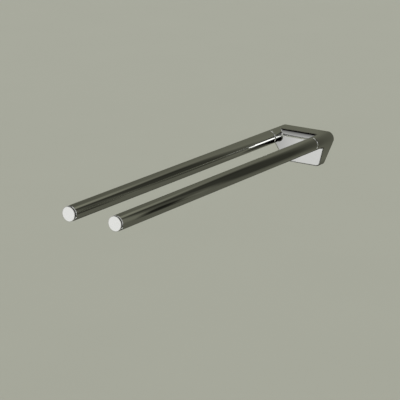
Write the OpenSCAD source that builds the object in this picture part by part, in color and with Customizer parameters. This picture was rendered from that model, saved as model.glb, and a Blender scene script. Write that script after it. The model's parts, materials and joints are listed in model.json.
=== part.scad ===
// Wall towel rail: one bracket that carries two fixed round arms, side by side.
// The origin is midway between the two wall screws, on the wall. The wall is the plane y = 0,
// the arms run along -Y, and +Z is up. Lengths are in millimetres.

/* [Arms] */
// Outer diameter of the arm tubes, and of the stubs that carry them
arm_d = 18; // [17:0.5:20]
// Wall thickness of the arm tubes
arm_wall = 1; // [0.8:0.1:1.5]
// From the wall to the end faces of the arms
arm_reach = 463; // [250:1:600]
// Between the axes of the two arms
arm_spacing = 63.3; // [62:0.1:80]
// Height of the arms' axes over the line of the wall screws
arm_height = 13; // [12.5:0.1:13.5]

/* [Bracket] */
// From the wall to the front, at the crease between the rounded band and the face
bracket_depth = 23.9; // [22:0.1:28]
// Height of that crease over the arms' axes
crease_rise = 0.5; // [0:0.1:1.5]
// Radius of the rounded band between the crease and the top
band_r = 10.8; // [10:0.1:14]
// From the wall to the front face, at the underside
foot_depth = 11.5; // [11:0.1:15]
// From the arms' axes down to the underside
bracket_drop = 36.5; // [36:0.1:40]
// How far the sides lean in from the vertical, in degrees
side_lean = 22.4; // [15:0.1:24]
// Radius of the two lower corners
foot_r = 6.3; // [3:0.1:8]
// Wall thickness behind the front face
shell_t = 3; // [2.5:0.1:3.5]
// Thickness of the bracket's top
top_t = 3.5; // [3:0.1:4]
// Thickness of the underside, which holds the clamp screws
floor_t = 6; // [5.5:0.1:6.5]
// From the wall to the ends of the stubs
stub_reach = 41; // [36:0.5:45]
// Bevel on the ends of the stubs and of the tubes
edge_bevel = 0.6; // [0.3:0.1:0.8]

/* [Arm ends] */
// Gap between a stub and its tube, which the root ring fills
root_gap = 0.6; // [0.4:0.1:1]
// Gap between a tube and the disc of its end cap, which the cap ring fills
tip_gap = 2; // [1:0.1:2.5]
// How far the rings lie below the surface of the tubes
ring_inset = 0.7; // [0.4:0.1:0.9]
// Inner diameter of the rings
ring_bore_d = 14; // [13:0.1:14.5]
// Thickness of the disc of the end cap
disc_t = 0.8; // [0.6:0.1:1.5]
// Diameter of the disc of the end cap, less than that of the arm
disc_step = 0.4; // [0.2:0.1:0.6]
// Bevel around the disc of the end cap
disc_bevel = 0.2; // [0.1:0.05:0.3]
// Length of the end cap inside the tube
cap_plug_length = 12; // [8:1:20]
// Length of the root plug inside the tube
root_plug_length = 18; // [17:1:25]
// Diameter of the pilot that centres the root plug in the stub
pilot_d = 12; // [10:0.5:12.5]
// Height of that pilot
pilot_h = 2; // [1.5:0.5:3]

/* [Arm screws] */
// Thread diameter
arm_screw_d = 6; // [5:1:6]
// How far the thread reaches past the stub, into the root plug
arm_screw_grip = 12.8; // [8:0.1:14]
// Diameter of the head
arm_screw_head_d = 10; // [9:0.5:10]
// Diameter of the flat washer
washer_d = 12; // [11:0.5:12]
// Thickness of each washer
washer_t = 1.6; // [1:0.1:1.8]
// Gap in the spring washer
split_gap = 0.8; // [0.5:0.1:1.5]
// From the wall to the seat of the flat washer
washer_seat = 17; // [15:0.5:18]
// How much deeper the threaded hole in the root plug is than the screw
tap_spare = 2; // [1:0.5:2.5]

/* [Wall plate] */
// Width of the wall plate
plate_w = 42; // [40:1:43]
// Thickness of the wall plate
plate_t = 6.5; // [6:0.5:7]
// Bevel along the plate's upper edge, which the bracket hooks over
hook_bevel = 3; // [2:0.5:3.5]
// Bevel along the plate's lower edge, which the clamp screws press on
clamp_bevel = 5.5; // [5:0.5:6]
// Radius of the plate's corners
plate_corner_r = 3; // [1:0.5:4]
// How far the bracket is lifted to come off the plate, beyond the hook bevel
lift_spare = 0.5; // [0.3:0.1:1]
// Diameter of the holes for the wall screws
wall_hole_d = 5.2; // [4.2:0.1:5.5]
// Between the holes for the wall screws
wall_hole_spacing = 28; // [24:1:28]
// Diameter of the countersinks for the wall screws
countersink_d = 10; // [9:0.5:10.5]

/* [Clamp screws] */
// Thread diameter
clamp_screw_d = 5; // [4:1:5]
// Length with the cone point
clamp_screw_length = 10; // [9:0.5:10]
// Between the two screws
clamp_spacing = 28; // [20:1:32]
// From the wall to the screws' axes
clamp_inset = 4.5; // [4:0.1:4.8]

/* [Fit] */
// Clearance around the pilot and the arm screw, and at the edges of the wall plate
fit_gap = 0.3; // [0.2:0.05:0.4]
// Smoothness of the curves
$fn = 96; // [48:12:144]

/* [Hidden] */
arm_r = arm_d / 2;
bore_r = arm_r - arm_wall;
bracket_top = arm_height + arm_r;
bracket_bottom = arm_height - bracket_drop;
side_reach = arm_spacing / 2 + arm_r;
crease_z = arm_height + crease_rise;
band_centre = bracket_depth - band_r;
face_slope = (bracket_depth - foot_depth) / (crease_z - bracket_bottom);
foot_z = bracket_bottom + foot_r;
side_length = (arm_height - foot_z - (arm_r - foot_r) * sin(side_lean)) / cos(side_lean);
foot_x = arm_spacing / 2 + (arm_r - foot_r) * cos(side_lean) - side_length * sin(side_lean);

roof_z = bracket_top - top_t;
floor_z = bracket_bottom + floor_t;
plate_top = roof_z - lift_spare;
plate_bottom = floor_z + hook_bevel + lift_spare;
cavity_w = plate_w + 10 * fit_gap;
cavity_front = bracket_depth - shell_t * sqrt(1 + face_slope * face_slope);
cavity_roof = band_centre + sqrt((band_r - shell_t) ^ 2 - (roof_z - crease_z) ^ 2);

tube_start = stub_reach + root_gap;
tube_end = arm_reach - disc_t - tip_gap;
ring_d = arm_d - 2 * ring_inset;
counterbore_d = washer_d + 2 * fit_gap;
head_seat = washer_seat - 2 * washer_t;
arm_screw_length = stub_reach - head_seat + arm_screw_grip;
clamp_tip_z = plate_bottom + clamp_bevel - clamp_inset;
eps = 0.01;

chrome = "gainsboro";
cast_metal = "darkgray";
brass = "goldenrod";
steel = "silver";
nylon = [0.1, 0.1, 0.1];

// Puts what is drawn around +Z, from the wall outwards, on the axis of one arm: -1 is left, 1 is right.
module on_arm(side) {
    translate([side * arm_spacing / 2, 0, arm_height]) rotate([90, 0, 0]) children();
}

// Extrudes an outline drawn in (x, z) outwards from the wall.
module from_wall(depth) {
    rotate([90, 0, 0]) linear_extrude(depth) children();
}

// Extrudes an outline drawn in (distance from the wall, z) across the width.
module across(width) {
    rotate([90, 0, -90]) linear_extrude(width, center = true) children();
}

// A cylinder with a bevel around its far end.
module bevelled_cylinder(h, r, bevel) {
    cylinder(h = h - bevel, r = r);
    translate([0, 0, h - bevel]) cylinder(h = bevel, r1 = r, r2 = r - bevel);
}

// A flat ring.
module ring(h, outer_r, inner_r) {
    difference() {
        cylinder(h = h, r = outer_r);
        translate([0, 0, -eps]) cylinder(h = h + 2 * eps, r = inner_r);
    }
}

// The right half of the bracket seen from the front, without the arm's own circle. The side and
// the underside are drawn from the circles' centres, so that they stay tangent to them at any size.
module half_outline() {
    translate([-1, arm_height - arm_r]) square([arm_spacing / 2 + 1, arm_d]);
    translate([arm_spacing / 2, arm_height]) rotate(-side_lean) {
        translate([-arm_r, -side_length]) square([arm_d, side_length]);
        translate([arm_r - foot_r, -side_length]) {
            circle(foot_r);
            rotate(side_lean) translate([-foot_x - 1, -foot_r]) square([foot_x + 1, bracket_drop]);
        }
    }
}

module bracket_outline() {
    half_outline();
    mirror([1, 0]) half_outline();
}

// The bracket seen from the side: flat top, rounded band, then the face that leans back and runs
// on past the underside.
module bracket_profile() {
    polygon([
        [0, bracket_bottom - 1],
        [foot_depth - face_slope, bracket_bottom - 1],
        [bracket_depth, crease_z],
        [band_centre, crease_z],
        [band_centre, bracket_top],
        [0, bracket_top],
    ]);
    translate([band_centre, crease_z]) intersection() {
        circle(band_r);
        square([band_r, bracket_top - crease_z]);
    }
}

// The hollow behind the face, with the hook that hangs over the plate's upper bevel.
module cavity_profile() {
    polygon([
        [-1, plate_top - hook_bevel],
        [0, plate_top - hook_bevel],
        [hook_bevel, plate_top],
        [hook_bevel, roof_z],
        [cavity_roof, roof_z],
        [cavity_front, crease_z],
        [cavity_front - face_slope * (crease_z - floor_z), floor_z],
        [-1, floor_z],
    ]);
}

// The plate seen from the side: both edges are undercut towards the wall.
module plate_profile() {
    polygon([
        [0, plate_bottom + clamp_bevel],
        [clamp_bevel, plate_bottom],
        [plate_t, plate_bottom],
        [plate_t, plate_top],
        [hook_bevel, plate_top],
        [0, plate_top - hook_bevel],
    ]);
}

module bracket_body() {
    color(chrome) difference() {
        union() {
            intersection() {
                from_wall(bracket_depth) bracket_outline();
                across(2 * side_reach + 2) bracket_profile();
            }
            for (side = [-1, 1]) {
                on_arm(side) bevelled_cylinder(stub_reach, arm_r, edge_bevel);
            }
        }
        across(cavity_w) cavity_profile();
        for (side = [-1, 1]) {
            on_arm(side) {
                translate([0, 0, -1]) cylinder(h = washer_seat + 1, d = counterbore_d);
                cylinder(h = stub_reach, d = arm_screw_d + 2 * fit_gap);
                translate([0, 0, stub_reach - pilot_h - fit_gap])
                    cylinder(h = pilot_h + 1, d = pilot_d + fit_gap);
            }
            translate([side * clamp_spacing / 2, -clamp_inset, bracket_bottom - 1])
                cylinder(h = floor_t + 2, d = clamp_screw_d);
        }
    }
}

module wall_plate() {
    color(cast_metal) difference() {
        intersection() {
            across(plate_w) plate_profile();
            from_wall(plate_t) {
                corner = plate_corner_r;
                for (x = [-1, 1] * (plate_w / 2 - corner), z = [plate_bottom + corner, plate_top - corner]) {
                    translate([x, z]) circle(corner);
                }
                translate([-plate_w / 2, plate_bottom + corner])
                    square([plate_w, plate_top - plate_bottom - 2 * corner]);
                translate([corner - plate_w / 2, plate_bottom])
                    square([plate_w - 2 * corner, plate_top - plate_bottom]);
            }
        }
        for (side = [-1, 1]) {
            translate([side * wall_hole_spacing / 2, 0, 0]) rotate([90, 0, 0]) {
                translate([0, 0, -1]) cylinder(h = plate_t + 2, d = wall_hole_d);
                sink_h = (countersink_d - wall_hole_d) / 2;
                translate([0, 0, plate_t - sink_h])
                    cylinder(h = sink_h, d1 = wall_hole_d, d2 = countersink_d);
            }
        }
    }
}

// A set screw with a cone point that presses the plate, and a hexagon socket below.
module clamp_screw(side) {
    screw_r = clamp_screw_d / 2;
    socket_af = clamp_screw_d / 2;
    place = [side * clamp_spacing / 2, -clamp_inset, clamp_tip_z - clamp_screw_length];
    color(steel) translate(place) difference() {
        union() {
            cylinder(h = clamp_screw_length - screw_r, r = screw_r);
            translate([0, 0, clamp_screw_length - screw_r]) cylinder(h = screw_r, r1 = screw_r, r2 = 0);
        }
        translate([0, 0, -eps]) cylinder(h = clamp_screw_length / 3, d = socket_af / cos(30), $fn = 6);
    }
}

module arm_tube(side) {
    color(chrome) on_arm(side) translate([0, 0, tube_start]) difference() {
        h = tube_end - tube_start;
        union() {
            cylinder(h = edge_bevel, r1 = arm_r - edge_bevel, r2 = arm_r);
            translate([0, 0, edge_bevel]) bevelled_cylinder(h - edge_bevel, arm_r, edge_bevel);
        }
        translate([0, 0, -eps]) cylinder(h = h + 2 * eps, r = bore_r);
    }
}

// The pilot sits in the stub, the collar passes the root ring, and the body is brazed in the tube.
module root_plug(side) {
    color(brass) on_arm(side) difference() {
        union() {
            translate([0, 0, stub_reach - pilot_h]) cylinder(h = pilot_h + eps, d = pilot_d);
            translate([0, 0, stub_reach]) cylinder(h = root_gap + eps, d = ring_bore_d);
            translate([0, 0, tube_start]) cylinder(h = root_plug_length, r = bore_r);
        }
        translate([0, 0, stub_reach - pilot_h - 1])
            cylinder(h = pilot_h + 1 + arm_screw_grip + tap_spare, d = arm_screw_d);
    }
}

module root_ring(side) {
    color(nylon) on_arm(side) translate([0, 0, stub_reach]) ring(root_gap, ring_d / 2, ring_bore_d / 2);
}

module arm_screw(side) {
    head_h = arm_screw_d;
    socket_af = arm_screw_d - 1;
    color(steel) on_arm(side) translate([0, 0, head_seat]) {
        cylinder(h = arm_screw_length, d = arm_screw_d);
        translate([0, 0, -head_h]) difference() {
            cylinder(h = head_h, d = arm_screw_head_d);
            translate([0, 0, -eps]) cylinder(h = head_h / 2, d = socket_af / cos(30), $fn = 6);
        }
    }
}

module spring_washer(side) {
    color(steel) on_arm(side) translate([0, 0, head_seat]) difference() {
        ring(washer_t, arm_screw_head_d / 2, arm_screw_d / 2);
        translate([arm_screw_head_d / 2, 0, washer_t / 2]) rotate([30, 0, 0])
            cube([arm_screw_head_d, split_gap, 4 * washer_t], center = true);
    }
}

module flat_washer(side) {
    color(steel) on_arm(side) translate([0, 0, head_seat + washer_t])
        ring(washer_t, washer_d / 2, arm_screw_d / 2);
}

module end_cap(side) {
    color(chrome) on_arm(side) {
        translate([0, 0, tube_end - cap_plug_length]) cylinder(h = cap_plug_length, r = bore_r);
        translate([0, 0, tube_end - eps]) cylinder(h = tip_gap + 2 * eps, d = ring_bore_d);
        translate([0, 0, arm_reach - disc_t]) bevelled_cylinder(disc_t, arm_r - disc_step / 2, disc_bevel);
    }
}

module cap_ring(side) {
    color(nylon) on_arm(side) translate([0, 0, tube_end]) ring(tip_gap, ring_d / 2, ring_bore_d / 2);
}

module left_clamp_screw() { clamp_screw(-1); }
module right_clamp_screw() { clamp_screw(1); }
module left_arm_tube() { arm_tube(-1); }
module right_arm_tube() { arm_tube(1); }
module left_root_plug() { root_plug(-1); }
module right_root_plug() { root_plug(1); }
module left_root_ring() { root_ring(-1); }
module right_root_ring() { root_ring(1); }
module left_arm_screw() { arm_screw(-1); }
module right_arm_screw() { arm_screw(1); }
module left_spring_washer() { spring_washer(-1); }
module right_spring_washer() { spring_washer(1); }
module left_flat_washer() { flat_washer(-1); }
module right_flat_washer() { flat_washer(1); }
module left_end_cap() { end_cap(-1); }
module right_end_cap() { end_cap(1); }
module left_cap_ring() { cap_ring(-1); }
module right_cap_ring() { cap_ring(1); }

bracket_body();
wall_plate();
left_clamp_screw();
right_clamp_screw();
left_arm_tube();
right_arm_tube();
left_root_plug();
right_root_plug();
left_root_ring();
right_root_ring();
left_arm_screw();
right_arm_screw();
left_spring_washer();
right_spring_washer();
left_flat_washer();
right_flat_washer();
left_end_cap();
right_end_cap();
left_cap_ring();
right_cap_ring();
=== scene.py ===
"""The looks of a chrome wall towel rail with two arms, in metres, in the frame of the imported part.

The rail hangs in a plain studio: a pale floor, an even pale world and one weak lamp. Polished metal
shows what is around it, so the studio also has a wall, at the part's own wall plane, and some cards
and flags. Only the metal's reflections see those. They are set for the camera's own angle.
"""
import json
import math

import bpy
from mathutils import Matrix, Vector


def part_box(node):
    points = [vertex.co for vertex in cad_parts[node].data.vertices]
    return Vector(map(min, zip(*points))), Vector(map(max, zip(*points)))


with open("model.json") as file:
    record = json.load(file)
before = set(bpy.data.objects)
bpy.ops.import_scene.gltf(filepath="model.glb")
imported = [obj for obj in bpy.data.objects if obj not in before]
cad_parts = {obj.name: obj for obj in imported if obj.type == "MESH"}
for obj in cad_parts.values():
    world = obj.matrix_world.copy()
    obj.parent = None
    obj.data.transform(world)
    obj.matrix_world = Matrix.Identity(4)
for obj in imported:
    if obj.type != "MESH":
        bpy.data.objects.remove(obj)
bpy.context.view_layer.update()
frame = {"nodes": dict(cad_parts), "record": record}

# Camera: where it looks, from which side, and how long its lens is
AIM = Vector((-0.005, -0.242, -0.019))
AZIMUTH = math.radians(33.70)
ELEVATION = math.radians(16.35)
ROLL = math.radians(0.485)
DISTANCE = 2.08
LENS_MM = 156
SENSOR_MM = 36

# Studio: the floor, the world and the lamp
FLOOR_DROP = 1.1
FLOOR_RADIUS = 40
PALE = (0.42, 0.43, 0.36)
WORLD_LEVEL = 0.80
SUN_STRENGTH = 0.25
SUN_SOFTNESS = math.radians(30)

# Studio: what only reflections see. A level is how brightly a piece of it glows.
OLIVE = (1.0, 1.015, 0.77)
NEUTRAL = (1.0, 1.0, 0.985)
BLACK_LEVEL = 0.0
DISC_CARD_LEVEL = 0.95
EDGE_CARD_LEVEL = 0.70
JOINT_CARD_LEVEL = 0.48
EDGE_CARD_Y = -0.523
LOW_FLAG_RADIUS = 0.8
LOW_FLAG_LIFT = 0.005
DISC_SIDES = 96
WALL_REACH = 3.0
WALL_GAP = 0.0005
# Painted shadows on the mirrored wall: soft dark patches where the rail's cast shadow, the shade under the
# bracket and a dark corner of the room fall
# Patches of the mirrored wall: the centre in x and z, the half width, the half height, the level
PAINTED_WALL_SHADOWS = [
    ((0.05, 0.03), 0.025, 0.06, 0.115),
    ((0.155, 0.175), 0.11, 0.10, 0.026),
    ((0.225, 0.23), 0.08, 0.14, 0.034),
    ((0.16, 0.04), 0.095, 0.11, 0.034),
    ((0.305, 0.11), 0.045, 0.14, 0.065),
    ((0.345, -0.01), 0.036, 0.10, 0.012),
    ((0.31, -0.12), 0.055, 0.05, 0.035),
    ((0.0, -0.036), 0.026, 0.028, 0.035),
]

# Radius of the light that the edges catch, on the cast bracket, on the tubes and on the rest
CAST_ROUNDING = 0.0026
TUBE_ROUNDING = 0.0010
EDGE_ROUNDING = 0.0003


# ---------------------------------------------------------------- nodes

def new_material(name):
    """A material with its node tree emptied, and that tree."""
    material = bpy.data.materials.new(name)
    material.use_nodes = True
    material.node_tree.nodes.clear()
    return material, material.node_tree


def add(tree, kind, **values):
    """A node of that kind. Each value is set on the input of that name, or on the node itself."""
    node = tree.nodes.new(kind)
    for name, value in values.items():
        label = name.replace("_", " ").title().replace(" Ior", " IOR")
        if label in node.inputs:
            node.inputs[label].default_value = value
        else:
            setattr(node, name, value)
    return node


def noise(tree, scale, stretch=(1, 1, 1), detail=3, roughness=0.5):
    """Noise in the row frame, with features of about 1 / scale metres, stretched along an axis."""
    where = add(tree, "ShaderNodeTexCoord")
    mapping = add(tree, "ShaderNodeMapping", scale=stretch)
    texture = add(tree, "ShaderNodeTexNoise", scale=scale, detail=detail, roughness=roughness)
    tree.links.new(where.outputs["Object"], mapping.inputs["Vector"])
    tree.links.new(mapping.outputs["Vector"], texture.inputs["Vector"])
    return texture.outputs["Fac"]


def spread(tree, value, low, high, start=0.3, end=0.7):
    """value from start to end, mapped on low to high."""
    node = add(tree, "ShaderNodeMapRange")
    node.inputs["From Min"].default_value = start
    node.inputs["From Max"].default_value = end
    node.inputs["To Min"].default_value = low
    node.inputs["To Max"].default_value = high
    tree.links.new(value, node.inputs["Value"])
    return node.outputs["Result"]


def calc(tree, operation, a, b):
    """a and b are sockets or numbers."""
    node = add(tree, "ShaderNodeMath", operation=operation)
    for side, value in enumerate((a, b)):
        if isinstance(value, float):
            node.inputs[side].default_value = value
        else:
            tree.links.new(value, node.inputs[side])
    return node.outputs["Value"]


def total(tree, a, b):
    return calc(tree, "ADD", a, b)


def product(tree, a, b):
    return calc(tree, "MULTIPLY", a, b)


def blend(tree, factor, low, high):
    """From the socket low to the number high, by factor."""
    return total(tree, low, product(tree, factor, calc(tree, "SUBTRACT", high, low)))


def mixed(tree, factor, low, high):
    """Between two colours, by factor."""
    node = add(tree, "ShaderNodeMix", data_type="RGBA")
    node.inputs["A"].default_value = (*low, 1)
    node.inputs["B"].default_value = (*high, 1)
    tree.links.new(factor, node.inputs["Factor"])
    return node.outputs["Result"]


def surface(tree, roughness, colour, height, relief, metallic=1.0, rounding=EDGE_ROUNDING):
    """The shader: roughness, colour and height are sockets, relief is the bump's depth in metres,
    and rounding is the radius of the light that sharp edges catch."""
    shader = add(tree, "ShaderNodeBsdfPrincipled", metallic=metallic)
    edges = add(tree, "ShaderNodeBevel", samples=8, radius=rounding)
    bump = add(tree, "ShaderNodeBump", strength=1.0, distance=relief)
    output = add(tree, "ShaderNodeOutputMaterial")
    tree.links.new(edges.outputs["Normal"], bump.inputs["Normal"])
    tree.links.new(roughness, shader.inputs["Roughness"])
    tree.links.new(colour, shader.inputs["Base Color"])
    tree.links.new(height, bump.inputs["Height"])
    tree.links.new(bump.outputs["Normal"], shader.inputs["Normal"])
    tree.links.new(shader.outputs["BSDF"], output.inputs["Surface"])
    return shader


# ---------------------------------------------------------------- materials of the part

def polished_chrome():
    """Mirror chrome on a tube: faint polishing lines along it, wiping marks and soft smudges."""
    material, tree = new_material("polished_chrome")
    lines = noise(tree, 900, stretch=(1, 0.01, 1), detail=4)
    smudges = noise(tree, 38, detail=4, roughness=0.6)
    rough = total(tree, spread(tree, lines, 0.01, 0.04), spread(tree, smudges, 0.0, 0.03))
    colour = mixed(tree, spread(tree, lines, 0, 1), (0.74, 0.745, 0.73), (0.80, 0.805, 0.79))
    surface(tree, rough, colour, lines, 0.0000012, rounding=TUBE_ROUNDING)
    return material


def cast_chrome():
    """Mirror chrome on the cast bracket: softer edges, and the slight waviness of the casting."""
    material, tree = new_material("cast_chrome")
    waves = noise(tree, 95, detail=2)
    smudges = noise(tree, 38, detail=4, roughness=0.6)
    pores = noise(tree, 1400, detail=3)
    rough = total(tree, spread(tree, pores, 0.01, 0.03), spread(tree, smudges, 0.0, 0.03))
    colour = mixed(tree, spread(tree, smudges, 0, 1), (0.75, 0.755, 0.74), (0.80, 0.805, 0.79))
    surface(tree, rough, colour, waves, 0.000006, rounding=CAST_ROUNDING)
    return material


def plated_steel():
    material, tree = new_material("plated_steel")
    grain = noise(tree, 700, detail=5)
    bloom = noise(tree, 90, detail=3)
    rough = spread(tree, grain, 0.28, 0.42)
    colour = mixed(tree, spread(tree, bloom, 0, 1), (0.50, 0.52, 0.53), (0.62, 0.62, 0.60))
    surface(tree, rough, colour, grain, 0.00002)
    return material


def machined_brass():
    material, tree = new_material("machined_brass")
    rings = noise(tree, 1600, stretch=(0.05, 1, 0.05), detail=3)
    tarnish = noise(tree, 120, detail=4)
    rough = spread(tree, rings, 0.18, 0.32)
    colour = mixed(tree, spread(tree, tarnish, 0, 1), (0.62, 0.45, 0.18), (0.74, 0.57, 0.26))
    surface(tree, rough, colour, rings, 0.00001)
    return material


def cast_plate():
    material, tree = new_material("cast_plate")
    skin = noise(tree, 1100, detail=6, roughness=0.65)
    cloud = noise(tree, 60, detail=3)
    rough = spread(tree, skin, 0.42, 0.6)
    colour = mixed(tree, spread(tree, cloud, 0, 1), (0.40, 0.41, 0.42), (0.52, 0.52, 0.51))
    surface(tree, rough, colour, skin, 0.00006)
    return material


def dark_elastomer():
    material, tree = new_material("dark_elastomer")
    grain = noise(tree, 2500, detail=4)
    rough = spread(tree, grain, 0.45, 0.65)
    colour = mixed(tree, spread(tree, grain, 0, 1), (0.010, 0.010, 0.010), (0.022, 0.022, 0.021))
    surface(tree, rough, colour, grain, 0.00002, metallic=0.0)
    return material


def dress(materials, exceptions):
    """Gives each node of the part the material of its slot, or its own where it has one."""
    for row in frame["record"]["subparts"]:
        node = frame["nodes"][row["node"]]
        for slot in node.material_slots:
            slot.link = "OBJECT"
            slot.material = exceptions.get(row["node"], materials[row["material_slot"]])


# ---------------------------------------------------------------- studio

def sheet(name, corners):
    """A flat piece of the studio through these corners."""
    mesh = bpy.data.meshes.new(name)
    mesh.from_pydata(corners, [], [list(range(len(corners)))])
    piece = bpy.data.objects.new(name, mesh)
    bpy.context.scene.collection.objects.link(piece)
    return piece


def disc(name, radius, height):
    return sheet(name, [
        (radius * math.cos(a), radius * math.sin(a), height)
        for a in (math.tau * i / DISC_SIDES for i in range(DISC_SIDES))
    ])


def floor():
    piece = disc("floor", FLOOR_RADIUS, -FLOOR_DROP)
    material, tree = new_material("pale_floor")
    grain = noise(tree, 3, detail=3)
    colour = mixed(tree, grain, PALE, [c * 1.03 for c in PALE])
    shader = add(tree, "ShaderNodeBsdfPrincipled", roughness=0.9)
    output = add(tree, "ShaderNodeOutputMaterial")
    tree.links.new(colour, shader.inputs["Base Color"])
    tree.links.new(shader.outputs["BSDF"], output.inputs["Surface"])
    piece.data.materials.append(material)


def card(piece, shade, colour):
    """Makes the piece a reflector or a flag: only mirrored rays see it, and it casts no shadow.

    shade is the level to glow at, or a function that takes the node tree and the sockets X, Y and Z
    and gives a socket with that level.
    """
    piece.visible_camera = False
    piece.visible_diffuse = False
    piece.visible_shadow = False
    piece.visible_transmission = False
    piece.visible_volume_scatter = False
    material, tree = new_material(piece.name)
    shader = add(tree, "ShaderNodeEmission", color=(*colour, 1))
    output = add(tree, "ShaderNodeOutputMaterial")
    if callable(shade):
        where = add(tree, "ShaderNodeTexCoord")
        axes = add(tree, "ShaderNodeSeparateXYZ")
        tree.links.new(where.outputs["Object"], axes.inputs["Vector"])
        tree.links.new(shade(tree, *axes.outputs), shader.inputs["Strength"])
    else:
        shader.inputs["Strength"].default_value = shade
    tree.links.new(shader.outputs["Emission"], output.inputs["Surface"])
    piece.data.materials.append(material)


def painted_wall_shading(tree, x, y, z):
    """How brightly the mirrored wall glows, all of it painted light and shade: lighter high up, darker low
    down, with soft patches of painted shadow.
    """
    base = spread(tree, x, 0.105, 0.150, start=-0.30, end=0.02)
    high = spread(tree, z, 0.0, 0.07, start=0.20, end=0.40)
    right = spread(tree, x, -0.4, 1.0, start=-0.06, end=0.03)
    low = spread(tree, z, 0.0, -0.045, start=-0.02, end=-0.10)
    shade = total(tree, total(tree, base, product(tree, high, right)), low)
    # Each patch blends the glow towards its darker level: a painted shadow.
    for centre, across, up, patch in PAINTED_WALL_SHADOWS:
        u = calc(tree, "DIVIDE", calc(tree, "SUBTRACT", x, centre[0]), across)
        v = calc(tree, "DIVIDE", calc(tree, "SUBTRACT", z, centre[1]), up)
        away = total(tree, product(tree, u, u), product(tree, v, v))
        near = spread(tree, away, 1.0, 0.0, start=0.4, end=1.9)
        shade = blend(tree, near, shade, patch)
    return shade


def mirrored_wall():
    """The wall that the rail is on, for its reflections alone. It glows with painted light and painted
    shadows, and no lamp lights it. It is open behind the wall plate.
    """
    low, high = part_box("wall_plate")
    outer = [(-WALL_REACH, -FLOOR_DROP), (WALL_REACH, -FLOOR_DROP), (WALL_REACH, WALL_REACH),
             (-WALL_REACH, WALL_REACH)]
    inner = [(low.x, low.z), (high.x, low.z), (high.x, high.z), (low.x, high.z)]
    mesh = bpy.data.meshes.new("mirrored_wall")
    points = [(x, WALL_GAP, z) for x, z in outer + inner]
    mesh.from_pydata(points, [], [[i, (i + 1) % 4, 4 + (i + 1) % 4, 4 + i] for i in range(4)])
    piece = bpy.data.objects.new("mirrored_wall", mesh)
    bpy.context.scene.collection.objects.link(piece)
    card(piece, painted_wall_shading, OLIVE)


def towards(azimuth, elevation):
    """The direction from the part to that side. Both angles are in radians."""
    return Vector((
        math.sin(azimuth) * math.cos(elevation),
        -math.cos(azimuth) * math.cos(elevation),
        math.sin(elevation),
    ))


def facing(target, azimuth, elevation, distance, width, height):
    """The corners of a card that faces the target, from a side given in degrees."""
    away = towards(math.radians(azimuth), math.radians(elevation))
    across = away.cross(Vector((0, 0, 1))).normalized()
    up = across.cross(away)
    centre = Vector(target) + away * distance
    return [
        tuple(centre + across * (i * width / 2) + up * (j * height / 2))
        for i, j in ((-1, -1), (1, -1), (1, 1), (-1, 1))
    ]


def face_shade(tree, x, y, z):
    """Darker towards the left, lighter towards the right."""
    return spread(tree, x, 0.28, 0.76, start=-0.31, end=-0.24)


def reflectors():
    """Pale cards that the discs on the arms' ends, the edges there and the bracket's face mirror."""
    tips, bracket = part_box("right_end_cap"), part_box("bracket_body")
    tip = (0, tips[0].y, (tips[0].z + tips[1].z) / 2)
    heart = (0, bracket[0].y / 2, 0)
    ends = sheet("disc_card", facing(tip, -33.7, -16.35, 0.8, 0.26, 0.16))
    card(ends, DISC_CARD_LEVEL, NEUTRAL)
    outline = [(0.01, -0.02), (0.13, -0.02), (0.13, 0.12), (-0.06, 0.12), (-0.06, 0.012), (0.01, 0.012)]
    edges = sheet("edge_card", [(x, EDGE_CARD_Y, z) for x, z in outline])
    card(edges, EDGE_CARD_LEVEL, NEUTRAL)
    face = sheet("face_card", facing(heart, -48, -44, 0.5, 0.15, 0.15))
    card(face, face_shade, NEUTRAL)


def streak_shade(tree, x, y, z):
    """Dark grey above, then black, a bright strip, and black again at the foot."""
    upper = spread(tree, z, 0.0, 0.10, start=-0.30, end=-0.20)
    top = spread(tree, z, 1.0, 0.0, start=-0.46, end=-0.43)
    foot = spread(tree, z, 0.0, 1.0, start=-0.82, end=-0.72)
    peak = spread(tree, z, 0.6, 2.4, start=-0.66, end=-0.56)
    side = spread(tree, x, 1.0, 0.0, start=0.54, end=0.57)
    strip = product(tree, product(tree, top, foot), product(tree, peak, side))
    return total(tree, upper, strip)


def band_shade(tree, x, y, z):
    """Light grey below, darker higher up, and black at the top."""
    slope = spread(tree, z, 0.58, 0.24, start=0.0, end=0.85)
    edge = spread(tree, z, 1.0, 0.0, start=0.84, end=1.0)
    return product(tree, slope, edge)


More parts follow.
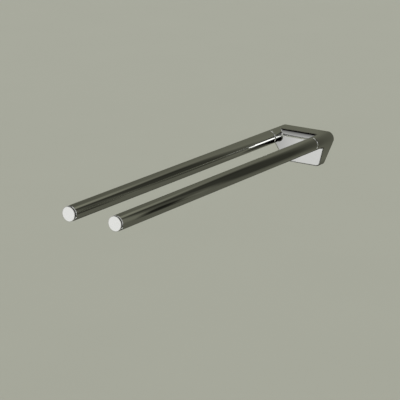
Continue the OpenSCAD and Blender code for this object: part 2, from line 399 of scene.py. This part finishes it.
def flags():
    """What the metal mirrors at the sides, above and below.

    A tall dark flag with a bright strip stands to the right, with a black one over it. A pale card
    lights the joints of the arms, a graded flag hangs to the left, and a black disc lies below.
    """
    heart = (0, 0, 0)
    tall = sheet("right_flag", [
        (0.66, -0.37, -1.09), (0.10, -0.86, -1.09), (0.10, -0.86, 0.60), (0.47, -0.54, 0.50),
        (0.50, -0.51, -0.30), (0.66, -0.37, -0.30),
    ])
    card(tall, streak_shade, NEUTRAL)
    high = sheet("high_flag", facing(heart, 65, 53, 1.0, 0.62, 0.56))
    card(high, BLACK_LEVEL, NEUTRAL)
    joints = sheet("joint_card", facing(heart, 20, 42, 1.15, 1.0, 0.75))
    card(joints, JOINT_CARD_LEVEL, NEUTRAL)
    graded = sheet("left_flag", facing(heart, -60, 30, 1.2, 1.8, 1.7))
    card(graded, band_shade, NEUTRAL)
    low = disc("low_flag", LOW_FLAG_RADIUS, -FLOOR_DROP + LOW_FLAG_LIFT)
    card(low, BLACK_LEVEL, NEUTRAL)


def surround():
    """The world: an even, soft pale light from all sides."""
    world = bpy.data.worlds.new("surround")
    bpy.context.scene.world = world
    world.use_nodes = True
    tree = world.node_tree
    tree.nodes.clear()
    background = add(tree, "ShaderNodeBackground", color=(*NEUTRAL, 1), strength=WORLD_LEVEL)
    output = add(tree, "ShaderNodeOutputWorld")
    tree.links.new(background.outputs["Background"], output.inputs["Surface"])


def sun(name, azimuth, elevation):
    """Soft, even light on the floor. It is kept out of the reflections, where it would be a glint."""
    light = bpy.data.lights.new(name, "SUN")
    light.energy = SUN_STRENGTH
    light.angle = SUN_SOFTNESS
    piece = bpy.data.objects.new(name, light)
    bpy.context.scene.collection.objects.link(piece)
    away = towards(math.radians(azimuth), math.radians(elevation))
    piece.rotation_euler = away.to_track_quat("Z", "Y").to_euler()
    piece.visible_glossy = False


def camera():
    back = towards(AZIMUTH, ELEVATION)
    right = (-back).cross(Vector((0, 0, 1))).normalized()
    up = right.cross(-back)
    upright = Matrix((right, up, back)).transposed()
    data = bpy.data.cameras.new("camera")
    data.lens = LENS_MM
    data.sensor_width = SENSOR_MM
    piece = bpy.data.objects.new("camera", data)
    bpy.context.scene.collection.objects.link(piece)
    turned = upright @ Matrix.Rotation(ROLL, 3, "Z")
    piece.matrix_world = Matrix.Translation(AIM + back * DISTANCE) @ turned.to_4x4()
    bpy.context.scene.camera = piece


camera()
surround()
floor()
mirrored_wall()
reflectors()
flags()
sun("overhead", azimuth=40, elevation=60)
dress({
    "chrome": polished_chrome(),
    "steel": plated_steel(),
    "plate": cast_plate(),
    "brass": machined_brass(),
    "dark_ring": dark_elastomer(),
}, {"bracket_body": cast_chrome()})
bpy.context.scene.view_settings.view_transform = "Standard"
